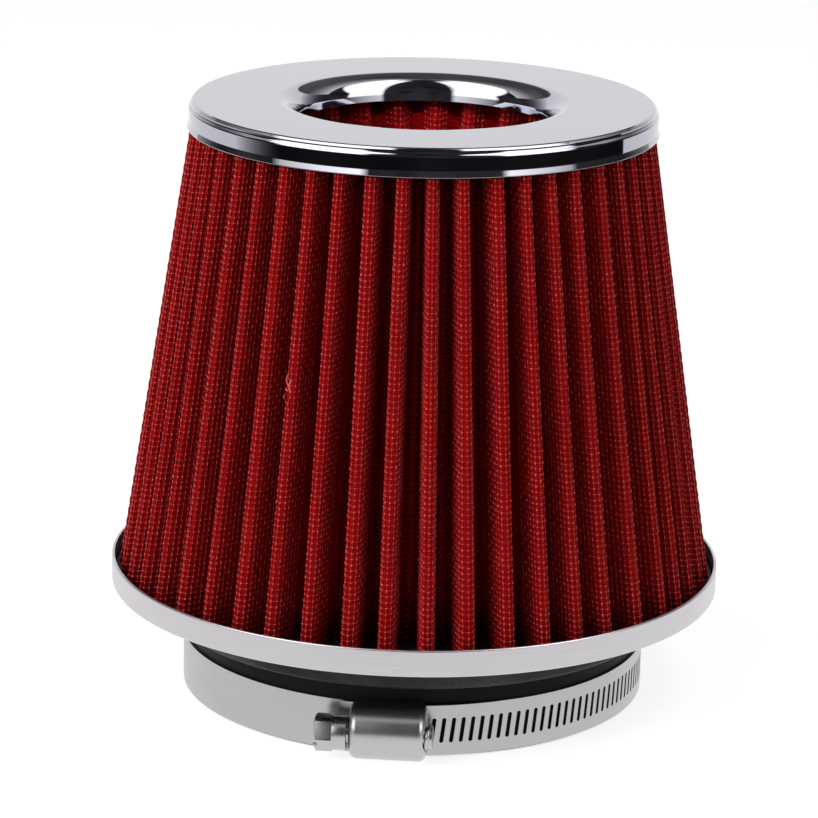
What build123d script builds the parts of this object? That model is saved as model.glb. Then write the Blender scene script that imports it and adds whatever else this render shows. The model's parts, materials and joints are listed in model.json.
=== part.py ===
import math
import os

from build123d import *

# Cone air filter with an open top, millimetres.
# Origin on the filter's axis at the neck's end face, Z up towards the cap, clamp screw on the -Y side.

# Neck and base moulding
NECK_BORE_DIA = 102.0
NECK_WALL = 6.4
NECK_LENGTH = 18.4
NECK_EDGE_CHAMFER = 0.8
BORE_LENGTH = 22.9
BOSS_STEP = 4.6
BOSS_WALL = 4.5
BOSS_HEIGHT = 8.4
BOSS_EDGE_RADIUS = 1.4
FLANGE_THICKNESS = 4.2
FLANGE_HOLE_HEIGHT = 3.0

# Chrome ring round the base
RING_DIA = 152.4
RING_WALL = 0.8
RING_HEIGHT = 5.7
RING_LIP_WIDTH = 5.4
RING_LOWER_CHAMFER = 0.4
RING_UPPER_CHAMFER = 0.3
RING_FIT_GAP = 0.2

# Chrome cap with its bevelled edge and rolled air inlet
CAP_DIA = 115.8
CAP_TOP = 149.2
CAP_RIM_HEIGHT = 6.9
CAP_SHEET = 0.9
CAP_SKIRT_WALL = 0.6
CAP_EDGE_BEVEL = 1.8
INLET_DIA = 60.6
INLET_ROLL_RADIUS = 6.0
INLET_DEPTH = 6.5

# Potting that bonds both pleat packs under the cap
POTTING_DEPTH = 2.8
POTTING_GAP = 0.1
POTTING_SLEEVE_GAP = 0.7
POTTING_ROLL_GAP = 0.4

# Outer pleat pack, sizes at its lower end
OUTER_PLEATS = 48
OUTER_RING_GAP = 1.2
OUTER_CAP_GAP = 0.73
OUTER_DEPTH = 15.6
OUTER_FOLD_RADIUS = 2.2
OUTER_ROOT_RADIUS = 0.9
OUTER_MEDIA = 1.4

# Inner pleat pack, sizes at its upper end
INNER_PLEATS = 24
INNER_SLEEVE_GAP = 4.4
PACK_GAP = 0.9
INNER_LENGTH = 82.6
INNER_DIA_LOW = 41.0
INNER_FOLD_RADIUS = 1.7
INNER_ROOT_RADIUS = 1.0
INNER_MEDIA = 1.2

# Flat facets that the gauze takes over each fold in view
FOLD_FACETS = 6

# Cup that closes the inner cone
END_CUP_GAP = 0.3
END_CUP_FLOOR = 4.0
END_CUP_RIM = 2.5
END_CUP_RIM_WALL = 1.6
END_CUP_CHAMFER = 1.2

# Clamp band, with angles counted round the axis from the ends of the screw housing
BAND_WIDTH = 12.7
BAND_SHEET = 0.65
BAND_BOTTOM = 0.7
BAND_GAP = 0.05
BAND_LAP_GAP = 0.05
HEAD_SPARE_DEG = 0.4
LAP_SPARE_DEG = 1.0
RAMP_DEG = 18.0
TAIL_SPARE_DEG = 3.6
TAIL_TAPER_LENGTH = 1.6
TAIL_TAPER_WIDTH = 2.8
TAIL_TOP_GAP = 0.3
SLOT_LENGTH = 6.3
SLOT_WIDTH = 1.0
SLOT_CORNER = 0.3
SLOT_LEAN_DEG = 7.0
SLOT_PITCH = 2.38
SLOT_TIP_SPARE_DEG = 2.0
SLOT_HEAD_SPARE_DEG = 2.5
SLOT_COUNT = 46

# Clamp housing and worm screw
HOUSING_LENGTH = 18.6
HOUSING_SHEET = 0.6
HOUSING_END_WALL = 1.0
HOUSING_SIDE_GAP = 0.05
HOUSING_EDGE_RADIUS = 2.0
WORM_HEIGHT = 0.6
WORM_BAND_GAP = 0.45
WORM_HOUSING_GAP = 0.2
SCREW_CORE_DIA = 5.2
SCREW_NECK_DIA = 4.6
SCREW_FIT_GAP = 0.1
SCREW_END_PROUD = 1.6
COLLAR_DIA = 8.4
COLLAR_LENGTH = 3.4
HEX_ACROSS_FLATS = 7.94
HEX_LENGTH = 4.4
HEX_CORNER_CUT = 0.3
HEX_CORNER_LEAN = 0.6
HEX_SLOT_WIDTH = 1.3
HEX_SLOT_DEPTH = 1.0
HEX_TURN_DEG = 6.0
HEX_SLOT_TURN_DEG = 117.0
END_PLAY = 0.4

os.makedirs("parts", exist_ok=True)

# Radii and heights that several pieces share
neck_r = NECK_BORE_DIA / 2 + NECK_WALL
boss_r = neck_r + BOSS_STEP
ring_r = RING_DIA / 2
ring_inner_r = ring_r - RING_WALL
ring_bottom = NECK_LENGTH + BOSS_HEIGHT
lip_top = ring_bottom + RING_WALL
flange_top = lip_top + FLANGE_THICKNESS
cap_r = CAP_DIA / 2
skirt_r = cap_r - CAP_SKIRT_WALL
cap_under = CAP_TOP - CAP_SHEET
sleeve_r = INLET_DIA / 2 + CAP_SHEET
roll_r = INLET_DIA / 2 + INLET_ROLL_RADIUS
roll_z = CAP_TOP - INLET_ROLL_RADIUS
inside_roll = INLET_ROLL_RADIUS - CAP_SHEET
potting_bottom = cap_under - POTTING_DEPTH
outer_low_r = ring_inner_r - OUTER_RING_GAP
outer_high_r = skirt_r - OUTER_CAP_GAP
inner_high_r = sleeve_r + INNER_SLEEVE_GAP
inner_depth = outer_high_r * (1 - OUTER_DEPTH / outer_low_r) - PACK_GAP - inner_high_r
inner_bottom = potting_bottom - INNER_LENGTH
inner_scale = INNER_DIA_LOW / 2 / inner_high_r
band_mid_z = BAND_BOTTOM + BAND_WIDTH / 2
low_in = neck_r + BAND_GAP
low_out = low_in + BAND_SHEET
high_in = low_out + BAND_LAP_GAP
high_out = high_in + BAND_SHEET
lap_mid = (low_out + high_in) / 2
housing_half = HOUSING_LENGTH / 2
housing_inside = BAND_WIDTH / 2 + HOUSING_SIDE_GAP
housing_half_width = housing_inside + HOUSING_SHEET
screw_y = -(high_out + WORM_BAND_GAP + WORM_HEIGHT + SCREW_CORE_DIA / 2)


def polar(radius, degrees):
    a = math.radians(degrees)
    return (radius * math.cos(a), radius * math.sin(a))


def front(radius, degrees):
    # Angle counted from -Y towards +X, as the clamp is seen from the front
    a = math.radians(degrees)
    return (radius * math.sin(a), -radius * math.cos(a))


def pleat_line(outward, count, tip_centre, tip_radius, root_centre, root_radius, scale, facets):
    # Closed line of folds: a tip, a straight flank, a root and the next flank.
    # Both centres lie on circles round the axis, half a pleat apart, joined by a crossing tangent.
    # A tip is an even number of short facets on its circle, and a root is two.
    # Outward is 1 for tips away from the axis and -1 for tips towards it.
    half = 180.0 / count
    dx = root_centre * math.cos(math.radians(half)) - tip_centre
    dy = root_centre * math.sin(math.radians(half))
    lean = math.atan2(dy, dx)
    swing = math.acos((tip_radius + root_radius) / math.hypot(dx, dy))
    turn = lean - outward * swing
    ux = math.cos(turn)
    uy = math.sin(turn)
    start = 0.0 if outward > 0 else 180.0
    sweep = math.degrees(turn) - start
    tip = []
    for i in range(facets + 1):
        x, y = polar(tip_radius, start + sweep * (2 * i / facets - 1))
        tip.append((tip_centre + x, y))
    root_start = (tip_centre + dx - root_radius * ux, dy - root_radius * uy)
    root_mid = polar(root_centre - outward * root_radius, half)
    root_end = (root_start[0], -root_start[1])

    def put(point, degrees):
        a = math.radians(degrees)
        x = point[0] * math.cos(a) - point[1] * math.sin(a)
        y = point[0] * math.sin(a) + point[1] * math.cos(a)
        return (x * scale, y * scale)

    for i in range(count):
        at = 2 * half * i
        after = at + 2 * half
        Polyline(
            *[put(point, at) for point in tip],
            put(root_start, at),
            put(root_mid, at),
            put(root_end, after),
            put(tip[0], after),
        )


# Black moulded base: neck, boss and the flange the outer pleats are potted on
with BuildPart() as base:
    with BuildSketch(Plane.XZ):
        with BuildLine():
            bore_r = NECK_BORE_DIA / 2
            flange_r = ring_inner_r - RING_FIT_GAP
            hole_r = boss_r - BOSS_WALL
            edge = BOSS_EDGE_RADIUS
            corner = edge * (1 - math.sqrt(0.5))
            Polyline(
                (boss_r, NECK_LENGTH + edge),
                (boss_r, lip_top),
                (flange_r, lip_top),
                (flange_r, flange_top),
                (hole_r, flange_top),
                (hole_r, flange_top - FLANGE_HOLE_HEIGHT),
                (bore_r, BORE_LENGTH),
                (bore_r, NECK_EDGE_CHAMFER),
                (bore_r + NECK_EDGE_CHAMFER, 0),
                (neck_r, 0),
                (neck_r, NECK_LENGTH),
                (boss_r - edge, NECK_LENGTH),
            )
            ThreePointArc(
                (boss_r - edge, NECK_LENGTH),
                (boss_r - corner, NECK_LENGTH + corner),
                (boss_r, NECK_LENGTH + edge),
            )
        make_face()
    revolve(axis=Axis.Z)
base.part.label = "base_moulding"
export_step(base.part, "parts/base_moulding.step")

# Chrome ring: a band with its lower edge turned in under the flange
with BuildPart() as ring:
    with BuildSketch(Plane.XZ):
        with BuildLine():
            lip_r = ring_inner_r - RING_LIP_WIDTH
            ring_top = ring_bottom + RING_HEIGHT
            Polyline(
                (lip_r, ring_bottom),
                (ring_r - RING_LOWER_CHAMFER, ring_bottom),
                (ring_r, ring_bottom + RING_LOWER_CHAMFER),
                (ring_r, ring_top - RING_UPPER_CHAMFER),
                (ring_r - RING_UPPER_CHAMFER, ring_top),
                (ring_inner_r, ring_top),
                (ring_inner_r, lip_top),
                (lip_r, lip_top),
                close=True,
            )
        make_face()
    revolve(axis=Axis.Z)
ring.part.label = "base_ring"
export_step(ring.part, "parts/base_ring.step")

# Chrome cap pressed from one sheet, its middle rolled down into the inlet
bevel_skirt_z = CAP_TOP - CAP_EDGE_BEVEL - CAP_SKIRT_WALL
bevel_under_r = cap_r - CAP_EDGE_BEVEL - CAP_SKIRT_WALL
with BuildPart() as cap:
    with BuildSketch(Plane.XZ):
        with BuildLine():
            inlet_r = INLET_DIA / 2
            sleeve_end = CAP_TOP - INLET_DEPTH
            rim_bottom = CAP_TOP - CAP_RIM_HEIGHT
            eighth = math.sqrt(0.5)
            ThreePointArc(
                (roll_r, CAP_TOP),
                (roll_r - INLET_ROLL_RADIUS * eighth, roll_z + INLET_ROLL_RADIUS * eighth),
                (inlet_r, roll_z),
            )
            Polyline(
                (inlet_r, roll_z),
                (inlet_r, sleeve_end),
                (sleeve_r, sleeve_end),
                (sleeve_r, roll_z),
                (roll_r - inside_roll * eighth, roll_z + inside_roll * eighth),
                (roll_r, cap_under),
                (bevel_under_r, cap_under),
                (skirt_r, bevel_skirt_z),
                (skirt_r, rim_bottom),
                (cap_r, rim_bottom),
                (cap_r, CAP_TOP - CAP_EDGE_BEVEL),
                (cap_r - CAP_EDGE_BEVEL, CAP_TOP),
                (roll_r, CAP_TOP),
            )
        make_face()
    revolve(axis=Axis.Z)
cap.part.label = "top_cap"
export_step(cap.part, "parts/top_cap.step")

# Potting under the cap, against the cap's sheet on top and clear of the roll's underside
under_roll_r = roll_r - math.sqrt(inside_roll**2 - max(0.0, potting_bottom - roll_z) ** 2)
with BuildPart() as potting:
    with BuildSketch(Plane.XZ):
        with BuildLine():
            Polyline(
                (under_roll_r + POTTING_SLEEVE_GAP, potting_bottom),
                (skirt_r - POTTING_GAP, potting_bottom),
                (skirt_r - POTTING_GAP, bevel_skirt_z - POTTING_GAP),
                (bevel_under_r - POTTING_GAP, cap_under),
                (roll_r + POTTING_ROLL_GAP, cap_under),
                close=True,
            )
        make_face()
    revolve(axis=Axis.Z)
potting.part.label = "top_potting"
export_step(potting.part, "parts/top_potting.step")

# Outer pleat pack: one folded strip closed into a cone, every fold running to the same apex
outer_tip = outer_low_r - OUTER_FOLD_RADIUS
outer_root = outer_low_r - OUTER_DEPTH + OUTER_ROOT_RADIUS + OUTER_MEDIA
outer_scale = outer_high_r / outer_low_r
outer_faces = (
    (OUTER_FOLD_RADIUS, OUTER_ROOT_RADIUS, Mode.ADD),
    (OUTER_FOLD_RADIUS - OUTER_MEDIA, OUTER_ROOT_RADIUS + OUTER_MEDIA, Mode.SUBTRACT),
)
with BuildPart() as outer:
    for tip_radius, root_radius, mode in outer_faces:
        facets = FOLD_FACETS if mode == Mode.ADD else 2
        for z, scale in ((flange_top, 1.0), (potting_bottom, outer_scale)):
            with BuildSketch(Plane.XY.offset(z)):
                with BuildLine():
                    pleat_line(
                        1, OUTER_PLEATS, outer_tip, tip_radius, outer_root, root_radius, scale, facets
                    )
                make_face()
        loft(ruled=True, mode=mode)
outer.part.label = "outer_pleats"
export_step(outer.part, "parts/outer_pleats.step")

# Inner pleat pack: the same folded strip as a smaller cone, mouth up, folds facing the axis
inner_tip = inner_high_r + INNER_FOLD_RADIUS
inner_root = inner_high_r + inner_depth - INNER_ROOT_RADIUS - INNER_MEDIA
inner_faces = (
    (INNER_FOLD_RADIUS - INNER_MEDIA, INNER_ROOT_RADIUS + INNER_MEDIA, Mode.ADD),
    (INNER_FOLD_RADIUS, INNER_ROOT_RADIUS, Mode.SUBTRACT),
)
with BuildPart() as inner:
    for tip_radius, root_radius, mode in inner_faces:
        facets = FOLD_FACETS if mode == Mode.SUBTRACT else 2
        for z, scale in ((inner_bottom, inner_scale), (potting_bottom, 1.0)):
            with BuildSketch(Plane.XY.offset(z)):
                with BuildLine():
                    pleat_line(
                        -1, INNER_PLEATS, inner_tip, tip_radius, inner_root, root_radius, scale, facets
                    )
                make_face()
        loft(ruled=True, mode=mode)
inner.part.label = "inner_pleats"
export_step(inner.part, "parts/inner_pleats.step")

# Black cup that closes the inner cone's lower end
with BuildPart() as cup:
    with BuildSketch(Plane.XZ):
        with BuildLine():
            cup_low = inner_bottom - END_CUP_FLOOR
            cup_rim = inner_bottom + END_CUP_RIM
            # The pleats widen upwards, so the rim clears them at its upper edge
            rim_scale = inner_scale + (1 - inner_scale) * END_CUP_RIM / INNER_LENGTH
            rim_in = (inner_high_r + inner_depth) * rim_scale + END_CUP_GAP
            rim_out = rim_in + END_CUP_RIM_WALL
            Polyline(
                (0, cup_low),
                (rim_out - END_CUP_CHAMFER, cup_low),
                (rim_out, cup_low + END_CUP_CHAMFER),
                (rim_out, cup_rim),
                (rim_in, cup_rim),
                (rim_in, inner_bottom),
                (0, inner_bottom),
                close=True,
            )
        make_face()
    revolve(axis=Axis.Z)
cup.part.label = "inner_end_cup"
export_step(cup.part, "parts/inner_end_cup.step")

# Clamp band: one strip round the neck, its slotted tail lapping over the head end below the screw
housing_end = math.degrees(math.asin(housing_half / low_out))
head_end = housing_end + HEAD_SPARE_DEG
lap_end = head_end + LAP_SPARE_DEG
ramp_end = lap_end + RAMP_DEG
tail_tip = -(housing_end + TAIL_SPARE_DEG)
with BuildPart() as band:
    far = (head_end + ramp_end) / 2 + 180
    climb = (lap_end + ramp_end) / 2
    lap = (lap_end + tail_tip) / 2
    with BuildSketch(Plane.XY.offset(BAND_BOTTOM)):
        with BuildLine():
            ThreePointArc(front(low_in, head_end), front(low_in, far), front(low_in, ramp_end))
            ThreePointArc(
                front(low_in, ramp_end),
                front((low_in + high_in) / 2, climb),
                front(high_in, lap_end),
            )
            ThreePointArc(front(high_in, lap_end), front(high_in, lap), front(high_in, tail_tip))
            Line(front(high_in, tail_tip), front(high_out, tail_tip))
            ThreePointArc(front(high_out, tail_tip), front(high_out, lap), front(high_out, lap_end))
            ThreePointArc(
                front(high_out, lap_end),
                front((low_out + high_out) / 2, climb),
                front(low_out, ramp_end),
            )
            ThreePointArc(front(low_out, ramp_end), front(low_out, far), front(low_out, head_end))
            Line(front(low_out, head_end), front(low_in, head_end))
        make_face()
    extrude(amount=BAND_WIDTH)
    # The tail's tip is tapered, so that it can be threaded through the housing
    x, y = front(lap_mid, tail_tip)
    out_x, out_y = front(1, tail_tip)
    past = BAND_SHEET
    slope = TAIL_TAPER_WIDTH / TAIL_TAPER_LENGTH
    with BuildSketch(Plane(origin=(x, y, band_mid_z), x_dir=(-out_y, out_x, 0), z_dir=(out_x, out_y, 0))):
        for side in (1, -1):
            with BuildLine():
                Polyline(
                    (-past, side * (BAND_WIDTH / 2 + past)),
                    (TAIL_TAPER_LENGTH + past / slope, side * (BAND_WIDTH / 2 + past)),
                    (-past, side * (BAND_WIDTH / 2 - TAIL_TAPER_WIDTH - past * slope)),
                    close=True,
                )
            make_face()
    extrude(amount=2 * BAND_SHEET, mode=Mode.SUBTRACT)
    slot_planes = []
    for i in range(SLOT_COUNT):
        at = tail_tip + SLOT_TIP_SPARE_DEG + math.degrees(SLOT_PITCH / low_out) * i
        # Over the lap the cutter starts between the two layers, so the head end stays whole
        over_lap = at < head_end + SLOT_HEAD_SPARE_DEG
        x, y = front(lap_mid if over_lap else low_in - BAND_SHEET, at)
        out_x, out_y = front(1, at)
        slot_planes.append(
            Plane(origin=(x, y, band_mid_z), x_dir=(-out_y, out_x, 0), z_dir=(out_x, out_y, 0))
        )
    with BuildSketch(*slot_planes) as slots:
        Rectangle(SLOT_LENGTH, SLOT_WIDTH, rotation=90 - SLOT_LEAN_DEG)
        chamfer(slots.vertices(), SLOT_CORNER)
    extrude(amount=4 * BAND_SHEET, mode=Mode.SUBTRACT)
band.part.label = "clamp_band"
export_step(band.part, "parts/clamp_band.step")

# Clamp housing: a sheet arch whose legs hold the band between them, both ends turned in round the screw
crown = screw_y - SCREW_CORE_DIA / 2 - WORM_HEIGHT - WORM_HOUSING_GAP - HOUSING_SHEET
spring = crown + housing_half_width


def arch_line(half_width, top):
    # Two straight legs from the filter's axis and a round crown
    low = band_mid_z - half_width
    high = band_mid_z + half_width
    Line((0, high), (spring, high))
    ThreePointArc((spring, high), (top, band_mid_z), (spring, low))
    Polyline((spring, low), (0, low), (0, high))


with BuildPart() as housing:
    with BuildSketch(Plane.YZ.offset(-housing_half)):
        with BuildLine():
            arch_line(housing_half_width, crown)
        make_face()
    extrude(amount=HOUSING_LENGTH)
    ends = housing.faces().sort_by(Axis.X)
    fillet(ends[0].edges() + ends[-1].edges(), HOUSING_EDGE_RADIUS)
    with BuildSketch(Plane.YZ.offset(-housing_half + HOUSING_END_WALL)):
        with BuildLine():
            arch_line(housing_inside, crown + HOUSING_SHEET)
        make_face()
    extrude(amount=HOUSING_LENGTH - 2 * HOUSING_END_WALL, mode=Mode.SUBTRACT)
    # The turned-in ends leave a gap for the tail, a bearing hole and a hole that the worm runs out of
    with BuildSketch(Plane.XY.offset(band_mid_z - housing_inside)):
        Circle(high_out + TAIL_TOP_GAP)
    extrude(amount=2 * housing_inside, mode=Mode.SUBTRACT)
    with BuildSketch(Plane.XY):
        Circle(low_in)
    extrude(amount=2 * band_mid_z, mode=Mode.SUBTRACT)
    with BuildSketch(Plane.YZ.offset(-housing_half)):
        with Locations((screw_y, band_mid_z)):
            Circle(SCREW_NECK_DIA / 2 + SCREW_FIT_GAP)
    extrude(amount=HOUSING_END_WALL, mode=Mode.SUBTRACT)
    with BuildSketch(Plane.YZ.offset(housing_half - HOUSING_END_WALL)):
        with Locations((screw_y, band_mid_z)):
            Circle(SCREW_CORE_DIA / 2 + WORM_HEIGHT + WORM_HOUSING_GAP)
    extrude(amount=HOUSING_END_WALL, mode=Mode.SUBTRACT)
housing.part.label = "clamp_housing"
export_step(housing.part, "parts/clamp_housing.step")

# Clamp screw: slotted hex head, collar, bearing neck and the worm's core
with BuildPart() as screw:
    shoulder = -housing_half + HOUSING_END_WALL + END_PLAY
    collar_face = -housing_half - END_PLAY
    hex_face = collar_face - COLLAR_LENGTH
    hex_end = hex_face - HEX_LENGTH
    screw_end = housing_half + SCREW_END_PROUD
    at = (screw_y, band_mid_z)
    with BuildSketch(Plane.YZ.offset(shoulder)):
        with Locations(at):
            Circle(SCREW_CORE_DIA / 2)
    extrude(amount=screw_end - shoulder)
    with BuildSketch(Plane.YZ.offset(collar_face)):
        with Locations(at):
            Circle(SCREW_NECK_DIA / 2)
    extrude(amount=shoulder - collar_face)
    with BuildSketch(Plane.YZ.offset(hex_face)):
        with Locations(at):
            Circle(COLLAR_DIA / 2)
    extrude(amount=COLLAR_LENGTH)
    with BuildSketch(Plane.YZ.offset(hex_end)):
        with Locations(at):
            RegularPolygon(HEX_ACROSS_FLATS / 2, 6, major_radius=False, rotation=HEX_TURN_DEG)
    extrude(amount=HEX_LENGTH)
    # The head's corners are turned off at its end
    with BuildSketch(Plane.XY.offset(band_mid_z)):
        with BuildLine():
            past_corner = HEX_ACROSS_FLATS / math.sqrt(3) + HEX_CORNER_CUT
            inside_flat = HEX_ACROSS_FLATS / 2 - HEX_CORNER_CUT
            lean_length = (past_corner - inside_flat) * HEX_CORNER_LEAN
            Polyline(
                (hex_end, screw_y + inside_flat),
                (hex_end, screw_y + past_corner),
                (hex_end + lean_length, screw_y + past_corner),
                close=True,
            )
        make_face()
    revolve(axis=Axis((0, screw_y, band_mid_z), (1, 0, 0)), mode=Mode.SUBTRACT)
    with BuildSketch(Plane.YZ.offset(hex_end)):
        with Locations(at):
            Rectangle(HEX_SLOT_WIDTH, 2 * HEX_ACROSS_FLATS, rotation=HEX_SLOT_TURN_DEG)
    extrude(amount=HEX_SLOT_DEPTH, mode=Mode.SUBTRACT)
screw.part.label = "clamp_screw"
export_step(screw.part, "parts/clamp_screw.step")
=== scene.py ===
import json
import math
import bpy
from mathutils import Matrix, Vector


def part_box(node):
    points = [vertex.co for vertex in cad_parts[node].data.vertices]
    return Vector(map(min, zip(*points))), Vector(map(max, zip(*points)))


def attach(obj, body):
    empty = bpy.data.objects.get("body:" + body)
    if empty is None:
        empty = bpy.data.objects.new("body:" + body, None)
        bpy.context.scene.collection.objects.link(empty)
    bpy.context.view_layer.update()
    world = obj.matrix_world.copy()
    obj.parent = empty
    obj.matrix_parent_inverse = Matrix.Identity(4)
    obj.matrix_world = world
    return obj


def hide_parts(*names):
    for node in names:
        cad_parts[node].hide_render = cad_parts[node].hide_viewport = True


bl_info = {
    "name": "Cone Air Filter",
    "version": (1, 0, 0),
    "blender": (4, 5, 0),
    "location": "View3D > Sidebar > Filter",
    "description": "Dresses the cone air filter and sets up its studio",
    "category": "Object",
}

from collections import namedtuple

import bmesh
import bpy
import numpy as np
from mathutils import Matrix, Vector

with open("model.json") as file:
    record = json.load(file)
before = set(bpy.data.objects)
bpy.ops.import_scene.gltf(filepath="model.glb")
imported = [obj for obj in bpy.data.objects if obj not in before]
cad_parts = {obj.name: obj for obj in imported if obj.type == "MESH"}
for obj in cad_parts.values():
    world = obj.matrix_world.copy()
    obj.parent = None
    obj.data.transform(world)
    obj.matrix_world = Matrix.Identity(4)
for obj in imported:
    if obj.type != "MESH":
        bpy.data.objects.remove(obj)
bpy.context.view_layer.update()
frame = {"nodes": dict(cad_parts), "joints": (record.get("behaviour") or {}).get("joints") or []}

CAP_LOW, CAP_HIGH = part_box("top_cap")
RING_LOW, RING_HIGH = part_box("base_ring")
BASE_LOW, BASE_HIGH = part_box("base_moulding")
OUTER_LOW, OUTER_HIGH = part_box("outer_pleats")
INNER_LOW, INNER_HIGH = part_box("inner_pleats")
SCREW_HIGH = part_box("clamp_screw")[1]
SCREW_JOINT = Vector(frame["joints"][0]["pos_m"])

PHOTO_PIXELS = 818
SENSOR_WIDTH = 36.0


def length(name, default, description):
    return bpy.props.FloatProperty(
        name=name, description=description, default=default, unit="LENGTH", precision=5
    )


def angle(name, degrees, description):
    return bpy.props.FloatProperty(
        name=name, description=description, default=math.radians(degrees), subtype="ANGLE"
    )


def number(name, default, description):
    return bpy.props.FloatProperty(name=name, description=description, default=default)


def whole(name, default, description):
    return bpy.props.IntProperty(name=name, description=description, default=default)


def colour(name, default, description):
    return bpy.props.FloatVectorProperty(
        name=name, description=description, default=default, subtype="COLOR", size=3, min=0, max=1
    )


class FilterCapSizes(bpy.types.PropertyGroup):
    """Sizes of the pressed chrome cap."""

    radius: length("Radius", CAP_HIGH.x, "Outside of the cap's rim")
    top: length("Top", CAP_HIGH.z, "Height of the flat top")
    rim_height: length("Rim height", CAP_HIGH.z - CAP_LOW.z, "From the flat top to the rim's lower edge")
    sheet: length("Sheet", 0.0009, "Thickness of the flat top and the inlet sleeve")
    skirt: length("Skirt", 0.0006, "Thickness of the rim")
    bevel: length("Bevel", 0.00062, "Size of each of the two bevels between flat top and rim")
    bevel_step: length("Bevel step", 0.00055, "Upright step between the bevels")
    bevel_round: length("Bevel rounding", 0.00085, "Rounding at the bevels' edges")
    hem_height: length("Hem height", 0.0016, "Height of the slightly flared hem")
    hem_flare: length("Hem flare", 0.00036, "How far the hem stands out")
    inlet_radius: length("Inlet radius", 0.0303, "Inside of the inlet at its end")
    inlet_lean: length("Inlet lean", 0.0012, "How far the inlet's wall leans back towards the top")
    inlet_roll: length("Inlet roll", 0.0058, "Rounding from the flat top into the inlet")
    inlet_depth: length("Inlet depth", 0.0065, "From the flat top to the sleeve's end")


class FilterBaseSizes(bpy.types.PropertyGroup):
    """Sizes of the chrome base ring and of the black moulding inside it."""

    ring_radius: length("Ring radius", RING_HIGH.x, "Outside of the ring")
    ring_wall: length("Ring wall", 0.0008, "Sheet of the ring")
    ring_rise: length("Ring rise", 0.0009, "How far the finished ring stands above the plain one")
    ring_lip: length("Ring lip", 0.0054, "Width of the lip turned in below the flange")
    ring_round: length("Ring rounding", 0.00035, "Rounding of the ring's edges")
    neck_radius: length("Neck radius", 0.0574, "Outside of the neck")
    neck_length: length("Neck length", 0.0184, "From the neck's end to the boss")
    bore_radius: length("Bore radius", 0.051, "Inside of the neck")
    bore_length: length("Bore length", 0.0229, "Straight length of the bore")
    bore_chamfer: length("Bore chamfer", 0.0008, "Lead-in at the neck's end")
    boss_radius: length("Boss radius", 0.062, "Outside of the boss above the neck")
    boss_round: length("Boss rounding", 0.0014, "Rounding of the boss's lower edge")
    hole_radius: length("Hole radius", 0.0575, "Hole in the flange")
    hole_height: length("Hole height", 0.003, "From the plain flange to the foot of the hole")
    seat_depth: length("Seat depth", 0.002, "How far the pleats are sunk below the plain flange")


class FilterOuterPleats(bpy.types.PropertyGroup):
    """Sizes of the outer pleat pack at its lower, wider end."""

    count: whole("Pleats", 48, "Folds round the cone")
    radius: length("Radius", OUTER_HIGH.x, "Over the fold tips at the wide end")
    narrow: number("Narrowing", 0.7624, "Narrow end as a share of the wide end")
    depth: length("Depth", 0.0156, "From a fold tip to the sheet's far side")
    fold: length("Fold radius", 0.00195, "Rounding of the fold tips")
    root: length("Root radius", 0.0009, "Rounding of the valleys")
    media: length("Media", 0.0014, "Thickness of the folded sheet")


class FilterInnerPleats(bpy.types.PropertyGroup):
    """Sizes of the inner pleat pack at its upper, wider end."""

    count: whole("Pleats", 24, "Folds round the cone")
    radius: length("Radius", 0.0356, "Over the fold tips, which face the axis, at the wide end")
    narrow: number("Narrowing", 0.57584, "Narrow end as a share of the wide end")
    depth: length("Depth", 0.00818, "From a fold tip to the sheet's far side")
    fold: length("Fold radius", 0.0017, "Rounding of the fold tips")
    root: length("Root radius", 0.001, "Rounding of the valleys")
    media: length("Media", 0.0012, "Thickness of the folded sheet")


class FilterWireMesh(bpy.types.PropertyGroup):
    """Sizes of the woven wire over the gauze."""

    wire_radius: length("Wire radius", 0.00026, "Radius of one wire")
    column_pitch: length("Column pitch", 0.00142, "Between upright wires at the wide end")
    row_pitch: length("Row pitch", 0.00136, "Between wires that run round")
    over: length("Over", 0.0003, "Depth of a wire's centre where it passes over")
    under: length("Under", 0.00052, "Depth of a wire's centre where it passes under")
    sunk: length("Sunk", 0.0009, "Depth of a wire's centre in the valleys, inside the sheet")
    gauze: length("Gauze", 0.0005, "Depth of the gauze's own surface")
    outer_reach: whole("Outer reach", 6, "Upright wires each side of an outer fold's middle")
    inner_reach: whole("Inner reach", 3, "Upright wires each side of an inner fold's middle")
    sectors: whole("Sectors", 4, "Pieces that the outer mesh is made in")
    drift: angle("Drift", 4.2, "How far folds stray round the axis")
    swell: number("Swell", 0.008, "How far fold tips stray in and out, as a share of the radius")
    seed: number("Seed", 3.7, "Picks the pattern of strays")
    snag_turn: angle("Snag turn", 246.4, "Where round the axis some wires are pulled out of the weave")
    snag_radius: length("Snag radius", 0.0644, "How far from the axis the pulled wires lie")
    snag_height: length("Snag height", 0.0906, "Height of the pulled wires")
    snag_width: length("Snag width", 0.0024, "Reach of the pull to each side")
    snag_rise: length("Snag rise", 0.0052, "Reach of the pull up and down")
    snag_pull: length("Snag pull", 0.0008, "How far the wires are pulled out")


class FilterClamp(bpy.types.PropertyGroup):
    """Sizes of the clamp's edges and of the worm thread."""

    band_edge: length("Band edge", 0.00012, "Rounding of the band's edges and slots")
    housing_edge: length("Housing edge", 0.00022, "Rounding of the housing's edges")
    screw_edge: length("Screw edge", 0.00028, "Rounding of the screw's edges")
    core_radius: length("Core radius", 0.0026, "Core of the worm")
    thread: length("Thread", 0.0006, "Radius of the thread's section")
    pitch: length("Pitch", 0.00238, "Pitch of the worm, which is the pitch of the slots")
    start: length("Start", -0.0071, "Where the worm starts along the screw")


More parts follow.
